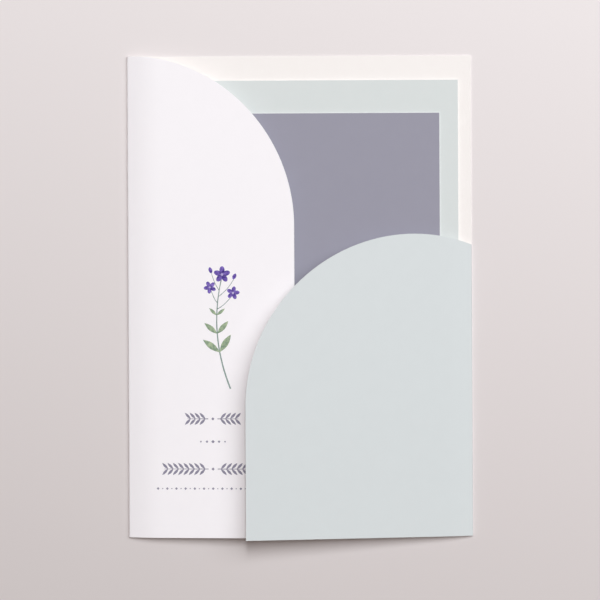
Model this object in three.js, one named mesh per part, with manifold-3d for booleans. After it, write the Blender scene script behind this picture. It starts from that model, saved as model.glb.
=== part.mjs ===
// A pocket fold invitation: one folded sheet of card with two arched front flaps that overlap,
// a glued pocket along its bottom edge, and two cards standing in that pocket.
// It lies on its back. X runs across it, Y up its height and Z away from the table.
// The origin is under the middle of the back panel. Lengths are in millimetres.

import * as THREE from "three";
import { mergeVertices } from "three/addons/utils/BufferGeometryUtils.js";
import Module from "manifold-3d";

// The folder's sheet
const folderWidth = 120; // from side crease to side crease, outside
const folderHeight = 167.5;
const stock = 0.3; // smooth card of about 300 g/m2

// The flaps, across the folder as seen from above
const leftFlapReach = 58.1; // from the folder's side to the free edge
const leftFlapLift = 4; // degrees that the left flap springs open, past its bend
const rightFlapReach = 78.9;
const rightFlapHeight = 105.2; // from the bottom edge to the crown of its arch
const rightArchHalfWidth = 58.7; // from the right flap's free edge to the crown
const archRise = 59.3; // from the end of a straight free edge up to the crown
const archExponent = 1.97; // 2 is a true ellipse, less has a flatter shoulder
const flapGap = 2.9; // from the left flap's free edge up to the right flap that lies over it
const foldRadius = 0.65; // outside of the flaps' tight creases
const flapBend = 40; // radius of the gentle bend with which a flap passes over the pocket's side

// The pocket
const pocketHeight = 62;
const pocketInset = 3; // each side crease of the pocket from the folder's own
const flapClearance = 0.15; // from a side crease of the pocket to the flap that passes over it
const glueTabWidth = 12;
const glueTabTaper = 3; // how far the ends of a glue tab slope
const glueTabRelief = 2; // from the pocket's bottom crease up to a glue tab
const glueBite = 0.02; // how deep a glue tab is pressed into the sheet that it is glued to

// The cards
const cardStock = 0.3;
const sheetGap = 0.05; // air between sheets that lie on each other
const insertSidePlay = 1.6; // from the pocket's side to the insert card
const insertTopMargin = 8.5; // from the folder's top edge down to the insert card
const invitationSideMargin = 6.5; // from the insert card's side to the invitation card
const invitationTopMargin = 11.5; // from the insert card's top edge down to the invitation card

// How finely round forms are cut into flats
const creaseSteps = 12;
const bendSteps = 8;
const archSteps = 32;

// How far a cutting block stands past the sheet that it trims, and how far joined pieces lap
const cutMargin = 2;
const lap = 1;

// Worked out from the sizes above
const top = folderHeight / 2;
const bottom = -folderHeight / 2;
const glueTabTop = 2 * stock;
const insertUnderside = glueTabTop + sheetGap;
const invitationUnderside = insertUnderside + cardStock + sheetGap;
const pocketFrontUnderside = invitationUnderside + cardStock + sheetGap;
const pocketFrontTop = pocketFrontUnderside + stock;
const pocketHalfWidth = folderWidth / 2 - pocketInset;
const pocketTop = bottom + pocketHeight;
const pocketBottomRadius = pocketFrontTop / 2; // outside of the bottom crease
const pocketBottomCentre = bottom + pocketBottomRadius;
const pocketSideRadius = (pocketFrontTop - stock) / 2; // outside of the pocket's side creases
const pocketSideCentre = pocketHalfWidth - pocketSideRadius;
const pocketSideLevel = stock + pocketSideRadius;
const foldCentre = folderWidth / 2 - foldRadius;
const leftSpan = leftFlapReach - foldRadius; // from the free edge to the middle of the crease
const rightSpan = rightFlapReach - foldRadius;
const leftLift = THREE.MathUtils.degToRad(leftFlapLift);
const springLift = liftOverPocket(); // at which a flap leaves its crease
const bendCentre = centreOfBend();
const rightLift = liftOverLeftFlap();

const wasm = await Module();
wasm.setup();

// The lift of a straight line that passes over two places, the second this far across and up
// from the first, where it passes over the second by this much more than over the first
function liftOver(across, up, gain) {
  return Math.atan2(up, across) + Math.asin(gain / Math.hypot(across, up));
}

// The lift at which a flap passes from its crease over the pocket's side crease
function liftOverPocket() {
  const gain = pocketSideRadius + flapClearance - (foldRadius - stock);
  return liftOver(foldCentre - pocketSideCentre, pocketSideLevel - foldRadius, gain);
}

// Where the right flap's bend is centred, so that it starts over the pocket's side crease
function centreOfBend() {
  const across = foldCentre - pocketSideCentre;
  const up = pocketSideLevel - foldRadius;
  const run = Math.cos(springLift) * across + Math.sin(springLift) * up;
  const turn = foldRadius - stock / 2 - flapBend;
  return new THREE.Vector2(
    foldCentre + Math.sin(springLift) * turn - Math.cos(springLift) * run,
    foldRadius + Math.cos(springLift) * turn + Math.sin(springLift) * run,
  );
}

// The lift at which the right flap passes over the left flap's free edge with flapGap to spare
function liftOverLeftFlap() {
  const { at, out } = flapSection(leftLift, leftFlapReach).at(-1);
  const edge = at.clone().addScaledVector(out, stock / 2);
  const gain = flapGap - (flapBend - stock / 2);
  return liftOver(bendCentre.x + edge.x, edge.y - bendCentre.y, gain);
}

// A closed geometry as a solid for joining and cutting
function solidOf(geometry) {
  const bare = geometry.clone();
  bare.deleteAttribute("normal");
  bare.deleteAttribute("uv");
  const merged = mergeVertices(bare);
  return new wasm.Manifold(
    new wasm.Mesh({
      numProp: 3,
      vertProperties: new Float32Array(merged.attributes.position.array),
      triVerts: new Uint32Array(merged.index.array),
    }),
  );
}

// A solid as a named mesh of one colour
function meshOf(name, solid, look) {
  const { vertProperties, triVerts } = solid.getMesh();
  const geometry = new THREE.BufferGeometry()
    .setAttribute("position", new THREE.BufferAttribute(vertProperties, 3))
    .setIndex(new THREE.BufferAttribute(triVerts, 1));
  geometry.computeVertexNormals();
  const mesh = new THREE.Mesh(geometry, new THREE.MeshStandardMaterial({ metalness: 0, ...look }));
  mesh.name = name;
  return mesh;
}

// An outline pushed along its own normal, standing in the frame that the three directions give
function extruded(outline, depth, alongX, alongY, origin = new THREE.Vector3()) {
  const outwards = new THREE.Vector3().crossVectors(alongX, alongY);
  const frame = new THREE.Matrix4().makeBasis(alongX, alongY, outwards).setPosition(origin);
  const geometry = new THREE.ExtrudeGeometry(outline, { depth, bevelEnabled: false, steps: 1 });
  return solidOf(geometry.applyMatrix4(frame));
}

const acrossFolder = new THREE.Vector3(1, 0, 0);
const upFolder = new THREE.Vector3(0, 1, 0);
const offTable = new THREE.Vector3(0, 0, 1);

// A profile seen from the bottom edge, as a sheet that reaches from one height to another
function alongHeight(profile, from, to) {
  return extruded(profile, to - from, acrossFolder, offTable, new THREE.Vector3(0, to, 0));
}

// A profile seen from the side, as a sheet that reaches from one place across to another
function alongWidth(profile, from, to) {
  return extruded(profile, to - from, upFolder, offTable, new THREE.Vector3(from, 0, 0));
}

// An outline seen from above, as a plate between two levels
function plate(outline, from, to) {
  return extruded(outline, to - from, acrossFolder, upFolder, new THREE.Vector3(0, 0, from));
}

function polygon(points) {
  return new THREE.Shape(points.map(([x, y]) => new THREE.Vector2(x, y)));
}

function rectangle(left, right, low, high) {
  return polygon([[left, low], [right, low], [right, high], [left, high]]);
}

// A point of a bent sheet's middle line, with the way that its outside faces there
function spot(x, y, angle) {
  return { at: new THREE.Vector2(x, y), out: new THREE.Vector2(Math.cos(angle), Math.sin(angle)) };
}

// The spots along an arc of a sheet's middle line
function arc(x, y, radius, from, to, steps) {
  return Array.from({ length: steps + 1 }, (_, i) => {
    const angle = from + ((to - from) * i) / steps;
    return spot(x + radius * Math.cos(angle), y + radius * Math.sin(angle), angle);
  });
}

// The spots along a rounded crease whose outside has the given radius
function crease(x, y, radius, from, to) {
  return arc(x, y, radius - stock / 2, from, to, creaseSteps);
}

// The cut section of a bent sheet that follows the spots
function bentSheet(spots) {
  const outside = spots.map(({ at, out }) => at.clone().addScaledVector(out, stock / 2));
  const inside = spots.map(({ at, out }) => at.clone().addScaledVector(out, -stock / 2));
  return new THREE.Shape([...outside, ...inside.reverse()]);
}

// The arch that ends a flap: a quarter or more of a super-ellipse, rising from the free edge.
// Its own x counts across the folder from the free edge, and its y from the folder's bottom edge.
class Arch extends THREE.Curve {
  constructor(halfWidth, crown, reach) {
    super();
    Object.assign(this, { halfWidth, crown });
    const past = reach / halfWidth - 1;
    this.end = Math.PI / 2 + Math.asin(Math.sign(past) * Math.abs(past) ** (archExponent / 2));
  }

  getPoint(t, point = new THREE.Vector2()) {
    const angle = this.end * t;
    const side = Math.sign(Math.cos(angle)) * Math.abs(Math.cos(angle)) ** (2 / archExponent);
    const rise = Math.sin(angle) ** (2 / archExponent) - 1;
    return point.set(this.halfWidth * (1 - side), this.crown + archRise * rise);
  }

  heightAt(x) {
    const share = Math.abs(x / this.halfWidth - 1) ** archExponent;
    return this.crown + archRise * ((1 - share) ** (1 / archExponent) - 1);
  }
}

// The right flap's section: its tight crease, the bend over the pocket's side and the free edge
function flapSection(lift, reach) {
  const rounding = crease(foldCentre, foldRadius, foldRadius, -Math.PI / 2, Math.PI / 2 - springLift);
  const { x, y } = bendCentre;
  const bend = arc(x, y, flapBend, Math.PI / 2 - springLift, Math.PI / 2 - lift, bendSteps);
  const { at, out } = bend.at(-1);
  const edge = folderWidth / 2 - reach;
  const rise = (at.x - edge) * Math.tan(lift);
  return [...rounding, ...bend, { at: new THREE.Vector2(edge, at.y + rise), out }];
}

// The same section on the folder's other side, running the other way
function mirrored(spots) {
  const flip = ({ x, y }) => new THREE.Vector2(-x, y);
  return spots.map(({ at, out }) => ({ at: flip(at), out: flip(out) })).reverse();
}

// What the die cuts away above a flap's arch. The flap runs from its free edge towards one side.
function wasteAbove(arch, edge, side, span) {
  const above = top + cutMargin;
  const curve = arch.getPoints(archSteps).map(({ x, y }) => [edge + side * x, bottom + y]);
  const [, springing] = curve[0];
  const past = edge - side * cutMargin;
  const outline = polygon([...curve, [edge + side * span, above], [past, above], [past, springing]]);
  return plate(outline, foldRadius, folderWidth); // above the back panel and through the flap
}

// The main sheet in two halves that lap in the middle of the back panel, so that each flap's
// arch is cut before the other flap lies over it or under it
function mainSheet() {
  const seam = (x) => spot(x, stock / 2, -Math.PI / 2);
  const leftSection = [...mirrored(flapSection(leftLift, leftFlapReach)), seam(lap)];
  const rightSection = [seam(0), ...flapSection(rightLift, rightFlapReach)];
  const leftArch = new Arch(leftSpan, folderHeight, leftSpan);
  const rightArch = new Arch(rightArchHalfWidth, rightFlapHeight, rightSpan);
  const leftHalf = alongHeight(bentSheet(leftSection), bottom, top).subtract(
    wasteAbove(leftArch, leftFlapReach - folderWidth / 2, -1, leftSpan),
  );
  const rightHalf = alongHeight(bentSheet(rightSection), bottom, top)
    .subtract(wasteAbove(rightArch, folderWidth / 2 - rightFlapReach, 1, rightSpan))
    .subtract(wasteAboveRightCrease(rightArch));
  return leftHalf.add(rightHalf).add(backPanelEdge(rightArch));
}

// The right arch runs on down over the rounded crease, and above it there is no crease
function wasteAboveRightCrease(arch) {
  const side = folderWidth / 2 + cutMargin;
  const start = bottom + arch.heightAt(rightSpan);
  const corner = bottom + arch.heightAt(rightFlapReach);
  const outline = polygon([
    [foldCentre, start],
    [folderWidth / 2, corner],
    [side, corner],
    [side, top + cutMargin],
    [foldCentre, top + cutMargin],
  ]);
  return plate(outline, -cutMargin, 2 * foldRadius + cutMargin);
}

// The back panel's free side edge above the right flap, in line with the crease
function backPanelEdge(arch) {
  const corner = bottom + arch.heightAt(rightFlapReach);
  return plate(rectangle(foldCentre - lap, folderWidth / 2, corner, top), 0, stock);
}

// The room along the bottom edge where the sheet turns up into the pocket
function pocketNotch() {
  const outline = rectangle(-pocketHalfWidth, pocketHalfWidth, bottom - cutMargin, pocketBottomCentre);
  return plate(outline, -stock, 2 * stock);
}

// The pocket's front, turned up from the back panel over the rounded bottom crease
function pocketFront() {
  const spots = [
    spot(pocketBottomCentre + lap, stock / 2, -Math.PI / 2),
    ...crease(pocketBottomCentre, pocketBottomRadius, pocketBottomRadius, 1.5 * Math.PI, Math.PI / 2),
    spot(pocketTop, pocketFrontTop - stock / 2, Math.PI / 2),
  ];
  return alongWidth(bentSheet(spots), -pocketHalfWidth, pocketHalfWidth);
}

// What is cut off the pocket's front where its side creases start
function pocketCorner(side) {
  const [left, right] = [pocketSideCentre, pocketHalfWidth + cutMargin].map((x) => side * x);
  const low = pocketBottomCentre + glueTabRelief;
  const outline = rectangle(Math.min(left, right), Math.max(left, right), low, pocketTop + cutMargin);
  return plate(outline, pocketFrontUnderside - stock / 2, pocketFrontTop + stock / 2);
}

// A side crease of the pocket, which turns its front down and in behind itself
function pocketSide(side) {
  const centre = side * pocketSideCentre;
  const [from, to] = side > 0 ? [-Math.PI / 2, Math.PI / 2] : [1.5 * Math.PI, Math.PI / 2];
  const inner = centre - side * lap;
  const spots = [
    spot(inner, 1.5 * stock, -Math.PI / 2),
    ...crease(centre, pocketSideLevel, pocketSideRadius, from, to),
    spot(inner, pocketFrontTop - stock / 2, Math.PI / 2),
  ];
  return alongHeight(bentSheet(spots), pocketBottomCentre + glueTabRelief, pocketTop);
}

// A glue tab, which lies behind the pocket's front and is glued to the back panel
function glueTab(side) {
  const low = pocketBottomCentre + glueTabRelief;
  const outer = side * pocketSideCentre;
  const inner = side * (pocketHalfWidth - glueTabWidth);
  const outline = polygon([
    [outer, low],
    [inner, low + glueTabTaper],
    [inner, pocketTop - glueTabTaper],
    [outer, pocketTop],
  ]);
  return plate(outline, stock - glueBite, glueTabTop);
}

function folder() {
  const sides = [-1, 1];
  let solid = mainSheet().subtract(pocketNotch());
  let pocket = pocketFront();
  for (const side of sides) pocket = pocket.subtract(pocketCorner(side));
  for (const side of sides) pocket = pocket.add(pocketSide(side)).add(glueTab(side));
  solid = solid.add(pocket);
  return meshOf("folder", solid, { color: "#f4f1f3", roughness: 0.72 });
}

// A flat card that stands on the pocket's bottom crease
function card(name, width, height, underside, look) {
  const geometry = new THREE.BoxGeometry(width, height, cardStock);
  const mesh = new THREE.Mesh(geometry, new THREE.MeshStandardMaterial({ metalness: 0, ...look }));
  mesh.name = name;
  mesh.position.set(0, pocketBottomCentre + height / 2, underside + cardStock / 2);
  return mesh;
}

const insertWidth = 2 * (pocketHalfWidth - insertSidePlay);
const insertHeight = top - insertTopMargin - pocketBottomCentre;
const invitationWidth = insertWidth - 2 * invitationSideMargin;
const invitationHeight = insertHeight - invitationTopMargin;

const group = new THREE.Group();
group.add(
  folder(),
  card("insert_card", insertWidth, insertHeight, insertUnderside, {
    color: "#d8dddd",
    roughness: 0.75,
  }),
  card("invitation_card", invitationWidth, invitationHeight, invitationUnderside, {
    color: "#9b99a5",
    roughness: 0.75,
  }),
);

export default group;
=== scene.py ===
# A pocket fold invitation on a pale table, seen straight from above: one folded sheet of card
# with two overlapping arched flaps and a glued pocket, and two cards standing in that pocket.
# X runs across the folder, Y up its height and Z away from the table. Blender works in metres.

import math

import bmesh
import bpy
from mathutils import Matrix, Vector


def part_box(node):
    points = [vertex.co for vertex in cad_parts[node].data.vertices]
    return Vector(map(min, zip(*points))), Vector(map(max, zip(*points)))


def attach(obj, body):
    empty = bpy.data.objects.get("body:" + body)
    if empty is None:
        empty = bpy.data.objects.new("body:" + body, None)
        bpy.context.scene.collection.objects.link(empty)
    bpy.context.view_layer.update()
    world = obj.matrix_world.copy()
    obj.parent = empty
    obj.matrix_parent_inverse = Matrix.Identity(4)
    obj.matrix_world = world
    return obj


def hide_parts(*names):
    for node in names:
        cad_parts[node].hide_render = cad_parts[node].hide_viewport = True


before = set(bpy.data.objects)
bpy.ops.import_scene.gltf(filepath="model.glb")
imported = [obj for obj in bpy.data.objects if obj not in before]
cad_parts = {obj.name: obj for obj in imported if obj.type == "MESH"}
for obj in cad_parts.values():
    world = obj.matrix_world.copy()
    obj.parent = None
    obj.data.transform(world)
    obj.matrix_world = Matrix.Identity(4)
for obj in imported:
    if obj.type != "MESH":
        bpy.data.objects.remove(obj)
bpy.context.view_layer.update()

MM = 0.001

# The folder's sheet
FOLDER_LOW, FOLDER_HIGH = [Vector(corner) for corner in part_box("folder")]
HALF_WIDTH = FOLDER_HIGH.x
BOTTOM = FOLDER_LOW.y
TOP = FOLDER_HIGH.y
STOCK = 0.3 * MM
HAIR = 0.01 * MM  # air left between sheets that are pressed together

# The flaps, across the folder as seen from above
FOLD_RADIUS = 0.65 * MM  # outside of the flaps' tight creases
FLAP_BEND = 40 * MM  # radius of the gentle bend with which a flap passes over the pocket's side
LEFT_REACH = 58.1 * MM
LEFT_LIFT = math.radians(4)
RIGHT_REACH = 78.9 * MM
RIGHT_CROWN = 105.2 * MM  # from the bottom edge
RIGHT_ARCH_HALF_WIDTH = 58.7 * MM
ARCH_RISE = 59.3 * MM
ARCH_EXPONENT = 1.97
FLAP_GAP = 2.9 * MM

# The pocket
POCKET_HEIGHT = 62 * MM
POCKET_INSET = 3 * MM
FLAP_CLEARANCE = 0.15 * MM
GLUE_TAB_WIDTH = 12 * MM
GLUE_TAB_TAPER = 3 * MM
GLUE_TAB_RELIEF = 2 * MM
SHEET_GAP = 0.05 * MM

# How finely round forms are made
CREASE_STEPS = 24
BEND_STEPS = 16
ARCH_STEPS = 36

# Worked out from the sizes above
POCKET_FRONT_TOP = 5 * STOCK + 3 * SHEET_GAP
POCKET_HALF_WIDTH = HALF_WIDTH - POCKET_INSET
POCKET_TOP = BOTTOM + POCKET_HEIGHT
POCKET_BOTTOM_RADIUS = POCKET_FRONT_TOP / 2
POCKET_BOTTOM_CENTRE = BOTTOM + POCKET_BOTTOM_RADIUS
POCKET_SIDE_RADIUS = (POCKET_FRONT_TOP - STOCK) / 2
POCKET_SIDE_CENTRE = POCKET_HALF_WIDTH - POCKET_SIDE_RADIUS
POCKET_SIDE_LEVEL = STOCK + POCKET_SIDE_RADIUS
FOLD_CENTRE = HALF_WIDTH - FOLD_RADIUS

# The look of the card
SHARP_ANGLE = math.radians(20)  # edges that turn more than this stay crisp
EDGE_WEAR = 0.04 * MM  # rounding of a loose card's cut edges
CLOUD_SIZE = 5 * MM  # how wide the pulp's cloudy patches are
FIBRE_SIZE = 0.5 * MM  # coarser than real fibres, so that they show
TOOTH_DEPTH = 0.012 * MM
CARD_IOR = 1.45

# The print, with places and lengths in millimetres on the left flap and angles in radians
INK_FILM = 0.006 * MM  # far thicker than real ink, so that it always lies on the card
INK_POOL_SIZE = 1.1 * MM  # how wide the darker patches are that drying ink leaves
STEM = ((-24.2, -32), (-31.8, -13), (-27.1, 6.4))
STEM_STEPS = 18
STEM_WIDTHS = (0.5, 0.3)
# Step of the stem that each side stem leaves, its bend, its end and its two widths
SIDE_STEMS = (
    (14, (-29.6, -1.5), (-31.0, 2.6), (0.28, 0.2)),
    (13, (-26.4, -3.4), (-23.6, 0.2), (0.28, 0.2)),
    (16, (-29.8, 4.6), (-30.8, 8.6), (0.24, 0.16)),
    (15, (-25.0, 2.2), (-22.9, 6.0), (0.24, 0.16)),
)
SIDE_STEM_STEPS = 8
LEAF_SLIMNESS = 0.3  # width per length
LEAF_POINT = 0.7
# Step of the stem that each pair of leaves leaves, their length and how far they spread
LEAF_PAIRS = ((6, 7.2, 0.75), (9, 5.8, 0.8), (12, 3.6, 0.85))
# Place, size and turn of each flower and bud
FLOWERS = ((-27.0, 7.6, 2.9, 0.3), (-31.2, 3.2, 2.2, 0.8), (-23.2, 1.2, 2.3, 0.1))
BUDS = ((-31.0, 9.1, 1.9), (-22.7, 6.9, 1.1))
BUD_LENGTH = 2.2
BUD_WIDTH = 1.3
BUD_POINT = 0.3
# Parts of a flower, per size of the flower
PETAL_REACH = 0.52
PETAL_LENGTH = 0.96
PETAL_WIDTH = 0.62
HEART_SIZE = 0.34
OVAL_SIDES = 20

# The ornament below the sprig
ORNAMENT_MIDDLE = -30.4
# Height up the flap, half width and pairs of leaves on each side
GARLANDS = ((-42.4, 8.9, 4), (-59.8, 17, 8))
GARLAND_GAP = 1.6  # from the middle to where a twig begins
GARLAND_LEAF = 2.9
GARLAND_SPREAD = 0.8
GARLAND_WIDTHS = (0.3, 0.16)
GARLAND_STEPS = 12
GARLAND_LOZENGE = 1.1
SHORT_ROW_Y = -50.3
SHORT_ROW_PITCH = 2.1
SHORT_ROW_SIZES = (0.7, 0.95, 1.2, 0.95, 0.7)
LONG_ROW_Y = -66.6
LONG_ROW_PITCH = 1.6
LONG_ROW_REACH = 12  # lozenges on each side of the middle one
LONG_ROW_SIZES = (0.95, 0.5)  # in turn

# The view: straight down from 600 mm, as the photograph shows the folder
CAMERA_HEIGHT = 600 * MM
CAMERA_Y = -1.36 * MM
CAMERA_TURN = math.radians(-0.28)
FIELD = 209.57 * MM  # width of the table that the view takes in
SENSOR = 36  # mm
NEAREST_SEEN = 10 * MM

# The light: each lamp box is given by its left, right, near and far edge, as slopes from the
# folder in sideways distance per height, and by its power in watts
LAMP_HEIGHT = 2400 * MM
LAMP_COLOUR = "#f8fcff"
SLIM_LAMP = (-0.05, 0.1, 0.05, 0.75, 40)
BROAD_LAMP = (0.12, 1.4, 0.05, 0.9, 74)
ROOM_COLOUR = "#ffcc9e"
ROOM_STRENGTH = 0.09

# The table and what lies beyond it
TABLE_HALF_SIZE = 12
# The table's two colours carry painted light: painted shade near the reader and towards the left,
# painted light far off and towards the right, where the lamp boxes stand.
TABLE_PAINTED_SHADE = "#d3cbca"
TABLE_PAINTED_LIGHT = "#ebe4e4"
TABLE_PAINTED_LIGHT_REACH = 130 * MM  # from the middle to where the full painted shade and the full painted light are reached
TABLE_PAINTED_LIGHT_SLOPE = 0.22  # how much the painted light also grows towards the right
TABLE_NEAR = 155 * MM  # from here on the table fades, outside the view from above
TABLE_FAR = 550 * MM  # and from here on only the backdrop shows
BACKDROP = "#ded6d4"


def lift_over(across, up, gain):
    """The lift of a line that passes over two places, by `gain` more over the second."""
    return math.atan2(up, across) + math.asin(gain / math.hypot(across, up))


def lift_over_pocket():
    gain = POCKET_SIDE_RADIUS + FLAP_CLEARANCE - (FOLD_RADIUS - STOCK)
    return lift_over(FOLD_CENTRE - POCKET_SIDE_CENTRE, POCKET_SIDE_LEVEL - FOLD_RADIUS, gain)


SPRING = lift_over_pocket()
SPRING_RUN = (
    math.cos(SPRING) * (FOLD_CENTRE - POCKET_SIDE_CENTRE)
    + math.sin(SPRING) * (POCKET_SIDE_LEVEL - FOLD_RADIUS)
)


def middle(side, across, up):
    """A place on a sheet's middle surface, from a fold's centre towards the folder's middle."""
    return Vector((side * (FOLD_CENTRE - across), 0, FOLD_RADIUS + up))


def bend_centre(side):
    turn = FOLD_RADIUS - STOCK / 2 - FLAP_BEND
    across = math.cos(SPRING) * SPRING_RUN - math.sin(SPRING) * turn
    return middle(side, across, math.cos(SPRING) * turn + math.sin(SPRING) * SPRING_RUN)


def bend_end(side, lift):
    """Where a flap's bend ends and its flat part begins, on its middle surface."""
    out = Vector((side * math.sin(lift), 0, math.cos(lift)))
    return bend_centre(side) + FLAP_BEND * out


def lift_over_left_flap():
    start = bend_end(-1, LEFT_LIFT)
    edge_x = LEFT_REACH - HALF_WIDTH
    edge_z = start.z + (edge_x - start.x) * math.tan(LEFT_LIFT)
    edge_x -= math.sin(LEFT_LIFT) * STOCK / 2
    edge_z += math.cos(LEFT_LIFT) * STOCK / 2
    centre = bend_centre(1)
    return lift_over(centre.x - edge_x, edge_z - centre.z, FLAP_GAP - (FLAP_BEND - STOCK / 2))


RIGHT_LIFT = lift_over_left_flap()


def left_flap_level(x):
    """How high the left flap's middle surface lies above the table at a place across."""
    start = bend_end(-1, LEFT_LIFT)
    if x >= start.x:
        return start.z + (x - start.x) * math.tan(LEFT_LIFT)
    centre = bend_centre(-1)
    return centre.z + math.sqrt(FLAP_BEND**2 - (x - centre.x) ** 2)


def arch_height(half_width, crown, x):
    """Height of an arch above the bottom edge, x away from the flap's free edge."""
    share = abs(x / half_width - 1) ** ARCH_EXPONENT
    return crown + ARCH_RISE * ((1 - share) ** (1 / ARCH_EXPONENT) - 1)


def arch_stops(half_width):
    """Places along a flap, from its free edge, that follow the arch's curve evenly."""
    stops = []
    for step in range(2 * ARCH_STEPS):
        angle = math.pi / 2 * step / ARCH_STEPS
        side = math.copysign(abs(math.cos(angle)) ** (2 / ARCH_EXPONENT), math.cos(angle))
        stops.append(half_width * (1 - side))
    return stops


# Meshes

def verts_of(geometry):
    return [item for item in geometry if isinstance(item, bmesh.types.BMVert)]


def edges_between(verts):
    chosen = set(verts)
    edges = {edge for vert in verts for edge in vert.link_edges}
    return [edge for edge in edges if chosen.issuperset(edge.verts)]


def pulled(bm, line, offset):
    """Draws a strip of sheet out of a line of edges and gives the strip's far line."""
    made = bmesh.ops.extrude_edge_only(bm, edges=line)["geom"]
    verts = verts_of(made)
    bmesh.ops.translate(bm, verts=verts, vec=offset)
    return edges_between(verts)


def turned(bm, line, centre, axis, angle, steps):
    """Draws a strip of sheet round a crease and gives the strip's far line."""
    verts = list({vert for edge in line for vert in edge.verts})
    made = bmesh.ops.spin(
        bm, geom=verts + line, cent=centre, axis=axis, angle=angle, steps=steps
    )
    return edges_between(verts_of(made["geom_last"]))


def piece(bm, name, materials):
    """Makes a bmesh into an object of the part, with smooth creases and crisp cut edges."""
    mesh = bpy.data.meshes.new(name)
    bm.to_mesh(mesh)
    bm.free()
    for material in materials:
        mesh.materials.append(material)
    mesh.shade_smooth()
    mesh.set_sharp_from_angle(angle=SHARP_ANGLE)
    obj = bpy.data.objects.new(name, mesh)
    bpy.context.collection.objects.link(obj)
    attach(obj, "root")
    return obj


def settled(obj):
    """Makes an object's modifiers part of its mesh."""
    graph = bpy.context.evaluated_depsgraph_get()
    mesh = bpy.data.meshes.new_from_object(obj.evaluated_get(graph))
    obj.modifiers.clear()
    obj.data = mesh
    mesh.shade_smooth()
    mesh.set_sharp_from_angle(angle=SHARP_ANGLE)


# Materials

def rgb(code):
    """A colour written as sRGB hex, in the linear light that Blender works in."""
    parts = [int(code[i : i + 2], 16) / 255 for i in (1, 3, 5)]
    linear = [p / 12.92 if p <= 0.04045 else ((p + 0.055) / 1.055) ** 2.4 for p in parts]
    return (*linear, 1)


def add(tree, kind, inputs=(), **settings):
    """Adds a node with its settings. An input's value is a number, a colour or another socket."""
    made = tree.nodes.new(kind)
    for name, value in settings.items():
        setattr(made, name, value)
    for name, value in dict(inputs).items():
        if isinstance(value, bpy.types.NodeSocket):
            tree.links.new(value, made.inputs[name])
        else:
            made.inputs[name].default_value = value
    return made


def blank_material(name):
    material = bpy.data.materials.new(name)
    material.use_nodes = True
    material.node_tree.nodes.clear()
    return material, material.node_tree


def ink_material(name, colour, pooled_colour):
    """Water-thin ink on card: matt, with darker patches where it pooled before it dried."""
    material, tree = blank_material(name)
    place = add(tree, "ShaderNodeTexCoord").outputs["Object"]
    pools = add(
        tree,
        "ShaderNodeTexNoise",
        {"Vector": place, "Scale": 1 / INK_POOL_SIZE, "Detail": 3, "Roughness": 0.6},
    )
    share = add(
        tree,
        "ShaderNodeMapRange",
        {"Value": pools.outputs[0], "From Min": 0.35, "From Max": 0.65},
    )
    tint = add(
        tree,
        "ShaderNodeMix",
        {"Factor": share.outputs["Result"], "A": rgb(colour), "B": rgb(pooled_colour)},
        data_type="RGBA",
    )
    shader = add(
        tree,
        "ShaderNodeBsdfPrincipled",
        {"Base Color": tint.outputs["Result"], "Roughness": 0.75, "IOR": CARD_IOR},
    )
    add(tree, "ShaderNodeOutputMaterial", {"Surface": shader.outputs["BSDF"]})
    return material


def card_material(name, colour, cloud_colour, roughness, tooth):
    """Smooth card: its pulp lies in faint clouds, and its felt side gives it a fine tooth."""
    material, tree = blank_material(name)
    place = add(tree, "ShaderNodeTexCoord").outputs["Object"]
    cloud = add(
        tree,
        "ShaderNodeTexNoise",
        {"Vector": place, "Scale": 1 / CLOUD_SIZE, "Detail": 3, "Roughness": 0.6},
    )
    fibre = add(
        tree,
        "ShaderNodeTexNoise",
        {"Vector": place, "Scale": 1 / FIBRE_SIZE, "Detail": 4, "Roughness": 0.65},
    )
    tint = add(
        tree,
        "ShaderNodeMix",
        {"Factor": cloud.outputs[0], "A": rgb(colour), "B": rgb(cloud_colour)},
        data_type="RGBA",
    )
    bump = add(
        tree,
        "ShaderNodeBump",
        {"Strength": tooth, "Distance": TOOTH_DEPTH, "Height": fibre.outputs[0]},
    )
    shader = add(
        tree,
        "ShaderNodeBsdfPrincipled",
        {
            "Base Color": tint.outputs["Result"],
            "Roughness": roughness,
            "IOR": CARD_IOR,
            "Normal": bump.outputs["Normal"],
        },
    )
    add(tree, "ShaderNodeOutputMaterial", {"Surface": shader.outputs["BSDF"]})
    return material


# The folder

def back_panel(bm):
    """The back panel with the room for the pocket's crease, and its two side lines."""
    corner = BOTTOM + arch_height(RIGHT_ARCH_HALF_WIDTH, RIGHT_CROWN, RIGHT_REACH)
    level = STOCK / 2
    columns = [
        -FOLD_CENTRE,
        -POCKET_HALF_WIDTH,
        -POCKET_SIDE_CENTRE,
        POCKET_SIDE_CENTRE,
        POCKET_HALF_WIDTH,
        FOLD_CENTRE,
    ]
    rows = [BOTTOM, POCKET_BOTTOM_CENTRE, corner, TOP]
    verts = [bm.verts.new((columns[0], y, level)) for y in rows]
    left_line = [bm.edges.new(pair) for pair in zip(verts, verts[1:])]
    line = left_line
    for here, beyond in zip(columns, columns[1:]):
        line = pulled(bm, line, Vector((beyond - here, 0, 0)))
    return left_line, line, corner


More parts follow.
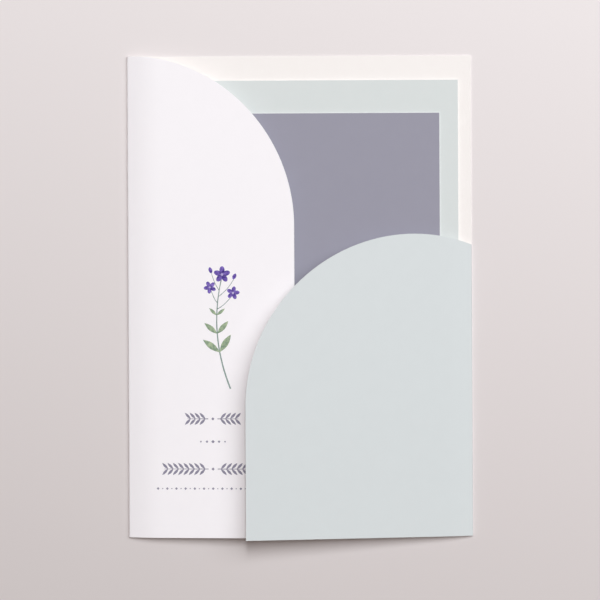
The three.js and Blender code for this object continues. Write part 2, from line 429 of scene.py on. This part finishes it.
def flap(bm, line, side, lift, reach, half_width, crown):
    """A flap drawn out of the back panel's side line: tight crease, bend and flat part."""
    upright = Vector((0, 1, 0))
    fold = middle(side, 0, 0)
    old_faces = set(bm.faces)
    line = turned(bm, line, fold, upright, -side * (math.pi - SPRING), CREASE_STEPS)
    run = Vector((-side * math.cos(SPRING), 0, math.sin(SPRING)))
    line = pulled(bm, line, SPRING_RUN * run)
    line = turned(bm, line, bend_centre(side), upright, side * (lift - SPRING), BEND_STEPS)
    edge = side * (HALF_WIDTH - reach)
    here = bend_end(side, lift).x
    stops = [edge + side * stop for stop in arch_stops(half_width)]
    stops = [stop for stop in stops if side * (here - stop) > MM / 2]
    for stop in sorted(stops, key=lambda x: -side * x):
        step = Vector((stop - here, 0, abs(stop - here) * math.tan(lift)))
        line = pulled(bm, line, step)
        here = stop
    faces = [face for face in bm.faces if face not in old_faces]
    trim_to_arch(faces, edge, side, half_width, crown, fold)
    return faces


def trim_to_arch(faces, edge, side, half_width, crown, fold):
    """Brings a flap's top line down to its arch."""
    verts = {vert for face in faces for vert in face.verts}
    highest = max(vert.co.y for vert in verts)
    for vert in verts:
        if vert.co.y < highest - HAIR or vert.co.z < fold.z:
            continue
        along = side * (vert.co.x - edge)
        if side < 0:
            along = min(along, half_width)
        vert.co.y = BOTTOM + arch_height(half_width, crown, max(along, 0))


def pocket(bm):
    """The pocket's front, drawn up out of the back panel's bottom edge, with its glued sides."""
    across = Vector((1, 0, 0))
    upright = Vector((0, 1, 0))
    bottom_faces = [
        face
        for face in bm.faces
        if max(abs(vert.co.x) for vert in face.verts) < POCKET_HALF_WIDTH + HAIR
        and max(vert.co.y for vert in face.verts) < POCKET_BOTTOM_CENTRE + HAIR
    ]
    bmesh.ops.delete(bm, geom=bottom_faces, context="FACES")
    line = [
        edge
        for edge in bm.edges
        if all(
            abs(vert.co.y - POCKET_BOTTOM_CENTRE) < HAIR / 2
            and abs(vert.co.x) < POCKET_HALF_WIDTH + HAIR
            for vert in edge.verts
        )
    ]
    centre = Vector((0, POCKET_BOTTOM_CENTRE, POCKET_BOTTOM_RADIUS))
    line = turned(bm, line, centre, across, -math.pi, CREASE_STEPS)
    line = pulled(bm, line, Vector((0, GLUE_TAB_RELIEF, 0)))
    front_edge = [
        edge
        for edge in line
        if all(abs(vert.co.x) < POCKET_SIDE_CENTRE + HAIR for vert in edge.verts)
    ]
    rise = POCKET_TOP - POCKET_BOTTOM_CENTRE - GLUE_TAB_RELIEF
    pulled(bm, front_edge, Vector((0, rise, 0)))
    for side in (-1, 1):
        line = [
            edge
            for edge in bm.edges
            if all(
                abs(vert.co.x - side * POCKET_SIDE_CENTRE) < HAIR
                and vert.co.z > POCKET_SIDE_LEVEL
                and vert.co.y > POCKET_BOTTOM_CENTRE + GLUE_TAB_RELIEF - HAIR
                for vert in edge.verts
            )
        ]
        centre = Vector((side * POCKET_SIDE_CENTRE, 0, POCKET_SIDE_LEVEL))
        line = turned(bm, line, centre, upright, side * math.pi, CREASE_STEPS)
        inwards = side * (GLUE_TAB_WIDTH - POCKET_SIDE_RADIUS)
        line = pulled(bm, line, Vector((-inwards, 0, 0)))
        for vert in {vert for edge in line for vert in edge.verts}:
            low = vert.co.y < POCKET_TOP - HAIR
            vert.co.y += GLUE_TAB_TAPER if low else -GLUE_TAB_TAPER


def folder_sheet(white, sage, cream, core):
    bm = bmesh.new()
    left_line, right_line, corner = back_panel(bm)
    pocket(bm)
    flap(
        bm, left_line, -1, LEFT_LIFT, LEFT_REACH, LEFT_REACH - FOLD_RADIUS, TOP - BOTTOM
    )
    free_side = [
        edge for edge in right_line if max(vert.co.y for vert in edge.verts) > corner + HAIR
    ]
    crease_side = [edge for edge in right_line if edge not in free_side]
    pulled(bm, free_side, Vector((FOLD_RADIUS, 0, 0)))
    right_faces = flap(
        bm,
        crease_side,
        1,
        RIGHT_LIFT,
        RIGHT_REACH,
        RIGHT_ARCH_HALF_WIDTH,
        RIGHT_CROWN,
    )
    for face in right_faces:
        if face.calc_center_median().z > FOLD_RADIUS:
            face.material_index = 1
    bmesh.ops.remove_doubles(bm, verts=bm.verts, dist=HAIR / 10)
    bmesh.ops.recalc_face_normals(bm, faces=bm.faces)
    if next(face for face in bm.faces if abs(face.calc_center_median().x) < MM).normal.z > 0:
        bmesh.ops.reverse_faces(bm, faces=bm.faces)
    # The inside and the cut edges of each printed face come two and four places further on
    materials = [white, sage, cream, cream, core, core]
    sheet = piece(bm, "folder_sheet", materials)
    wall = sheet.modifiers.new("card thickness", "SOLIDIFY")
    wall.thickness = STOCK - HAIR
    wall.offset = 0
    wall.use_even_offset = True
    wall.material_offset = 2
    wall.material_offset_rim = 4
    settled(sheet)
    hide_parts("folder")
    return sheet


def flat_card(name, node, face_material, core):
    """A card with crisp, slightly rounded cut edges that show its paler core."""
    low, high = [Vector(corner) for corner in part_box(node)]
    size = high - low
    bm = bmesh.new()
    bmesh.ops.create_cube(bm, size=1)
    bmesh.ops.scale(bm, vec=size, verts=bm.verts)
    bmesh.ops.translate(bm, vec=(low + high) / 2, verts=bm.verts)
    for face in bm.faces:
        face.material_index = 0 if abs(face.normal.z) > 0.5 else 1
    bmesh.ops.bevel(
        bm,
        geom=bm.edges,
        offset=EDGE_WEAR,
        segments=2,
        profile=0.5,
        affect="EDGES",
        material=1,
    )
    obj = piece(bm, name, [face_material, core])
    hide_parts(node)
    return obj


# The print on the left flap

def printed(bm, name, material, layer):
    """Lays flat shapes on the left flap as a film of ink, a little thicker in each later layer."""
    flat = list(bm.faces)
    made = bmesh.ops.extrude_face_region(bm, geom=flat)["geom"]
    bmesh.ops.translate(bm, verts=verts_of(made), vec=(0, 0, INK_FILM * (layer + 2)))
    half_wall = (STOCK - HAIR) / 2 / math.cos(LEFT_LIFT)
    for vert in bm.verts:
        vert.co.z += left_flap_level(vert.co.x) + half_wall - INK_FILM
    bmesh.ops.recalc_face_normals(bm, faces=bm.faces)
    return piece(bm, name, [material])


def ellipse(bm, x, y, length, width, turn, point=0):
    """A flat oval round a place in millimetres, with its ends drawn out to points if asked."""
    made = bmesh.ops.create_circle(bm, cap_ends=True, segments=OVAL_SIDES, radius=0.5)["verts"]
    for vert in made:
        vert.co.y *= 1 - point * (2 * vert.co.x) ** 2
    scale = Matrix.Diagonal((length * MM, width * MM, 1, 1))
    place = Matrix.Translation((x * MM, y * MM, 0))
    bmesh.ops.transform(bm, matrix=place @ Matrix.Rotation(turn, 4, "Z") @ scale, verts=made)


def leaf(bm, x, y, length, angle):
    """A slim pointed leaf that grows out of a place in the direction of an angle."""
    ellipse(
        bm,
        x + length / 2 * math.cos(angle),
        y + length / 2 * math.sin(angle),
        length,
        length * LEAF_SLIMNESS,
        angle,
        LEAF_POINT,
    )


def stroke(bm, points, widths):
    """A flat drawn line through places in millimetres that thins towards its end."""
    line = None
    for step, (x, y) in enumerate(points):
        before = Vector(points[max(step - 1, 0)])
        after = Vector(points[min(step + 1, len(points) - 1)])
        across = (after - before).orthogonal().normalized()
        width = widths[0] + (widths[1] - widths[0]) * step / (len(points) - 1)
        ends = [Vector((x, y)) + across * width / 2, Vector((x, y)) - across * width / 2]
        if line is None:
            verts = [bm.verts.new((*(end * MM), 0)) for end in ends]
            line = bm.edges.new(verts)
            continue
        made = verts_of(bmesh.ops.extrude_edge_only(bm, edges=[line])["geom"])
        nearest = sorted(made, key=lambda vert: (vert.co.xy - line.verts[0].co.xy).length)
        for vert, end in zip(nearest, ends):
            vert.co = (*(end * MM), 0)
        line = next(edge for edge in nearest[0].link_edges if nearest[1] in edge.verts)


def curve(start, control, end, steps):
    """Places along a quadratic curve."""
    places = []
    for step in range(steps + 1):
        t = step / steps
        places.append(
            tuple(
                (1 - t) ** 2 * a + 2 * t * (1 - t) * b + t**2 * c
                for a, b, c in zip(start, control, end)
            )
        )
    return places


def flower(petals, hearts, x, y, size, turn):
    """A five-petalled flower seen from the front."""
    for petal in range(5):
        angle = turn + petal * math.tau / 5
        ellipse(
            petals,
            x + size * PETAL_REACH * math.cos(angle),
            y + size * PETAL_REACH * math.sin(angle),
            size * PETAL_LENGTH,
            size * PETAL_WIDTH,
            angle,
        )
    ellipse(hearts, x, y, size * HEART_SIZE, size * HEART_SIZE, 0)


def sprig(stem_ink, leaf_ink, petal_ink, heart_ink):
    """A small spray of five-petalled flowers on a curved stem with paired leaves."""
    stem = curve(*STEM, STEM_STEPS)
    stems = bmesh.new()
    stroke(stems, stem, STEM_WIDTHS)
    for step, bend, tip, widths in SIDE_STEMS:
        stroke(stems, curve(stem[step], bend, tip, SIDE_STEM_STEPS), widths)
    leaves = bmesh.new()
    for step, length, spread in LEAF_PAIRS:
        ahead = Vector(stem[step + 1]) - Vector(stem[step - 1])
        along = math.atan2(ahead.y, ahead.x)
        for side in (-1, 1):
            leaf(leaves, *stem[step], length, along + side * spread)
    petals = bmesh.new()
    hearts = bmesh.new()
    for place in FLOWERS:
        flower(petals, hearts, *place)
    for x, y, turn in BUDS:
        ellipse(petals, x, y, BUD_LENGTH, BUD_WIDTH, turn, BUD_POINT)
    printed(stems, "sprig_stems", stem_ink, 0)
    printed(leaves, "sprig_leaves", leaf_ink, 1)
    printed(petals, "sprig_petals", petal_ink, 2)
    printed(hearts, "sprig_flower_hearts", heart_ink, 3)


def lozenge(bm, x, y, size):
    made = bmesh.ops.create_circle(bm, cap_ends=True, segments=4, radius=size * MM / 2)["verts"]
    bmesh.ops.translate(bm, verts=made, vec=(x * MM, y * MM, 0))


def garland(bm, y, half_width, pairs):
    """Two leafy twigs in line, with a lozenge between them."""
    for side in (-1, 1):
        start = ORNAMENT_MIDDLE + side * GARLAND_GAP
        run = side * (half_width - GARLAND_GAP)
        twig = [(start + run * step / GARLAND_STEPS, y) for step in range(GARLAND_STEPS + 1)]
        stroke(bm, twig, GARLAND_WIDTHS)
        for pair in range(pairs):
            x = start + run * (pair + 0.6) / (pairs + 0.3)
            for spread in (GARLAND_SPREAD, -GARLAND_SPREAD):
                leaf(bm, x, y, GARLAND_LEAF, spread if side > 0 else math.pi - spread)
    lozenge(bm, ORNAMENT_MIDDLE, y, GARLAND_LOZENGE)


def ornament(ink):
    """Plain leafy rules and rows of lozenges in a soft grey, one under the other."""
    bm = bmesh.new()
    for place in GARLANDS:
        garland(bm, *place)
    for step, size in enumerate(SHORT_ROW_SIZES, -(len(SHORT_ROW_SIZES) // 2)):
        lozenge(bm, ORNAMENT_MIDDLE + SHORT_ROW_PITCH * step, SHORT_ROW_Y, size)
    for step in range(-LONG_ROW_REACH, LONG_ROW_REACH + 1):
        size = LONG_ROW_SIZES[step % 2]
        lozenge(bm, ORNAMENT_MIDDLE + LONG_ROW_PITCH * step, LONG_ROW_Y, size)
    printed(bm, "printed_ornament", ink, 0)


# The table, the light and the view

def table_material():
    """A matt table top whose colour holds painted light: paler away from the reader and towards the
    right, where the lamps stand, darker near the reader; far off it fades into the backdrop.
    """
    material, tree = blank_material("matt table top with painted light")
    place = add(tree, "ShaderNodeTexCoord").outputs["Object"]
    # Painted light: the colour goes from painted shade near the reader and on the left to painted
    # light far off and on the right.
    split = add(tree, "ShaderNodeSeparateXYZ", {"Vector": place})
    slope = add(
        tree,
        "ShaderNodeMath",
        {0: split.outputs["X"], 1: TABLE_PAINTED_LIGHT_SLOPE, 2: split.outputs["Y"]},
        operation="MULTIPLY_ADD",
    )
    share = add(
        tree,
        "ShaderNodeMapRange",
        {
            "Value": slope.outputs[0],
            "From Min": -TABLE_PAINTED_LIGHT_REACH,
            "From Max": TABLE_PAINTED_LIGHT_REACH,
        },
    )
    tint = add(
        tree,
        "ShaderNodeMix",
        {"Factor": share.outputs["Result"], "A": rgb(TABLE_PAINTED_SHADE), "B": rgb(TABLE_PAINTED_LIGHT)},
        data_type="RGBA",
    )
    shader = add(
        tree,
        "ShaderNodeBsdfPrincipled",
        {"Base Color": tint.outputs["Result"], "Roughness": 0.9, "IOR": 1.3},
    )
    away = add(tree, "ShaderNodeVectorMath", {0: place}, operation="LENGTH")
    far = add(
        tree,
        "ShaderNodeMapRange",
        {"Value": away.outputs["Value"], "From Min": TABLE_NEAR, "From Max": TABLE_FAR},
        interpolation_type="SMOOTHSTEP",
    )
    seen = add(tree, "ShaderNodeLightPath").outputs["Is Camera Ray"]
    faded = add(
        tree, "ShaderNodeMath", {0: far.outputs["Result"], 1: seen}, operation="MULTIPLY"
    )
    haze = add(tree, "ShaderNodeEmission", {"Color": rgb(BACKDROP), "Strength": 1})
    mixed = add(
        tree,
        "ShaderNodeMixShader",
        {0: faded.outputs[0], 1: shader.outputs["BSDF"], 2: haze.outputs[0]},
    )
    add(tree, "ShaderNodeOutputMaterial", {"Surface": mixed.outputs[0]})
    return material


def table():
    bm = bmesh.new()
    bmesh.ops.create_grid(bm, x_segments=1, y_segments=1, size=TABLE_HALF_SIZE)
    mesh = bpy.data.meshes.new("table_top")
    bm.to_mesh(mesh)
    bm.free()
    mesh.materials.append(table_material())
    obj = bpy.data.objects.new("table_top", mesh)
    bpy.context.collection.objects.link(obj)


def lamp(name, left, right, near, far, power):
    """A soft lamp box that faces down."""
    data = bpy.data.lights.new(name, "AREA")
    data.shape = "RECTANGLE"
    data.size = (right - left) * LAMP_HEIGHT
    data.size_y = (far - near) * LAMP_HEIGHT
    data.energy = power
    data.color = rgb(LAMP_COLOUR)[:3]
    obj = bpy.data.objects.new(name, data)
    obj.location = (
        (left + right) / 2 * LAMP_HEIGHT,
        (near + far) / 2 * LAMP_HEIGHT,
        LAMP_HEIGHT,
    )
    bpy.context.collection.objects.link(obj)


def light():
    """A slim overhead lamp box, a broad one from the right, and the room's weak, warmer light."""
    lamp("slim_lamp_box", *SLIM_LAMP)
    lamp("broad_lamp_box", *BROAD_LAMP)
    world = bpy.data.worlds.new("room")
    world.use_nodes = True
    tree = world.node_tree
    tree.nodes.clear()
    room = add(tree, "ShaderNodeBackground", {"Color": rgb(ROOM_COLOUR), "Strength": ROOM_STRENGTH})
    backdrop = add(tree, "ShaderNodeBackground", {"Color": rgb(BACKDROP), "Strength": 1})
    seen = add(tree, "ShaderNodeLightPath").outputs["Is Camera Ray"]
    mixed = add(
        tree, "ShaderNodeMixShader", {0: seen, 1: room.outputs[0], 2: backdrop.outputs[0]}
    )
    add(tree, "ShaderNodeOutputWorld", {"Surface": mixed.outputs[0]})
    bpy.context.scene.world = world


def camera():
    data = bpy.data.cameras.new("camera")
    data.sensor_width = SENSOR
    data.lens = SENSOR * CAMERA_HEIGHT / FIELD
    data.clip_start = NEAREST_SEEN
    obj = bpy.data.objects.new("camera", data)
    obj.location = (0, CAMERA_Y, CAMERA_HEIGHT)
    obj.rotation_euler = (0, 0, CAMERA_TURN)
    bpy.context.collection.objects.link(obj)
    bpy.context.scene.camera = obj


camera()
light()
table()

WHITE_CARD = card_material("white printed card", "#fcf8fb", "#f9f5f8", 0.7, 0.25)
SAGE_PRINT = card_material("sage printed card", "#d7dcdd", "#d4d9da", 0.7, 0.25)
CREAM_INSIDE = card_material("cream uncoated card", "#f6f1ee", "#f4eeeb", 0.8, 0.35)
CARD_CORE = card_material("cut card edge", "#fbf9f8", "#f2efee", 0.9, 0.6)
SAGE_CARD = card_material("sage dyed card", "#d9dddc", "#d5dad9", 0.75, 0.3)
GREY_CARD = card_material("violet grey dyed card", "#9997a5", "#9694a2", 0.75, 0.3)

folder_sheet(WHITE_CARD, SAGE_PRINT, CREAM_INSIDE, CARD_CORE)
flat_card("insert_card_sheet", "insert_card", SAGE_CARD, CARD_CORE)
flat_card("invitation_card_sheet", "invitation_card", GREY_CARD, CARD_CORE)

STEM_INK = ink_material("grey green water ink", "#8a9e97", "#6f8580")
LEAF_INK = ink_material("leaf green water ink", "#afbf9c", "#748c78")
VIOLET_INK = ink_material("violet water ink", "#8a72c8", "#3b2084")
PALE_INK = ink_material("pale violet water ink", "#cdc3e6", "#a697cf")
ORNAMENT_INK = ink_material("soft grey printing ink", "#908c9e", "#878396")

sprig(STEM_INK, LEAF_INK, VIOLET_INK, PALE_INK)
ornament(ORNAMENT_INK)

bpy.context.scene.view_settings.view_transform = "Standard"
